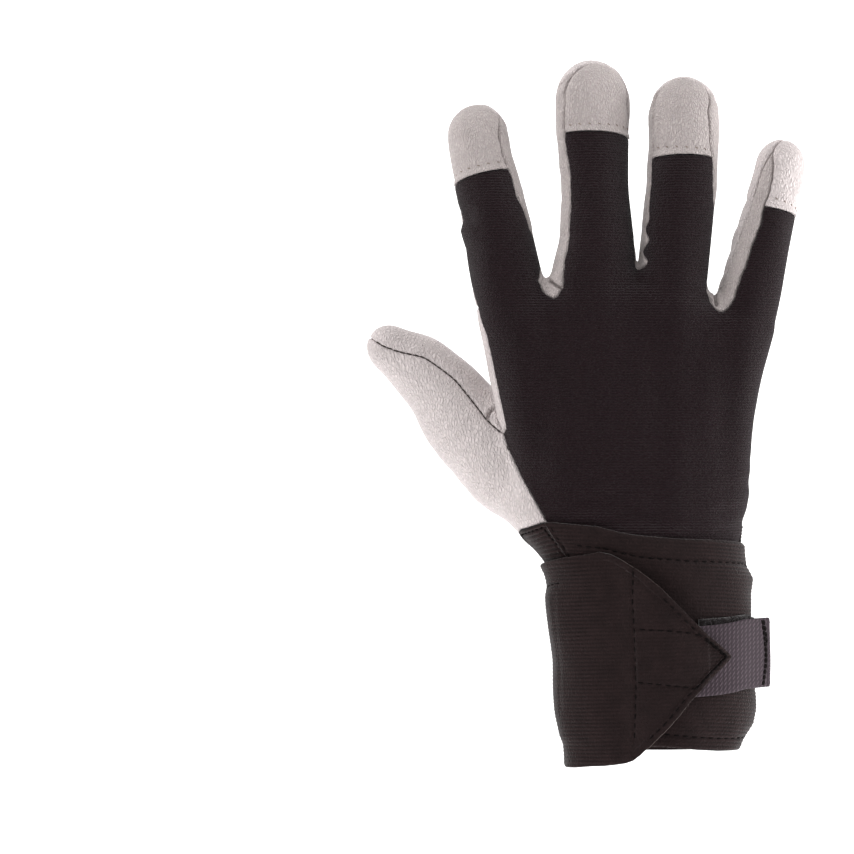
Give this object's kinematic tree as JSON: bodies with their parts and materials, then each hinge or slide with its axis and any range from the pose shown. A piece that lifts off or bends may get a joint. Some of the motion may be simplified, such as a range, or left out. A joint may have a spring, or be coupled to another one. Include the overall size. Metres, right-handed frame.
{
  "type": "anti-vibration glove",
  "caption": "Right-hand anti-vibration work glove with a white leather palm and fingertips, a black stretch-knit back and a wide elastic wrist wrap closed by a hook strap.",
  "frame": {"origin": "centre of the wrist opening, level with the lower edge of the wrist wrap at the thumb side", "axes": "+Z along the hand towards the fingertips, -Y out of the back of the hand, +Y out of the palm, -X towards the thumb"},
  "size_m": [0.1612, 0.058, 0.2604],
  "materials": {
    "leather": "soft pearl-white goatskin with a fine pebble grain",
    "knit": "matte black stretch knit",
    "elastic": "black ribbed woven elastic",
    "webbing": "grey-black woven hook tape",
    "loop_pile": "fuzzy black loop pile"
  },
  "bodies": {
    "root": {"palm": "leather", "thumb_main": "leather", "thumb_gusset": "leather", "front_index": "leather", "front_middle": "leather", "front_ring": "leather", "front_little": "leather", "cap_index": "leather", "cap_middle": "leather", "cap_ring": "leather", "cap_little": "leather", "fourchette_index_middle": "leather", "fourchette_middle_ring": "leather", "fourchette_ring_little": "leather", "back": "knit", "cuff": "elastic", "wrist_wrap": "elastic", "hook_strap": "webbing", "loop_patch": "loop_pile"}
  },
  "joints": []
}
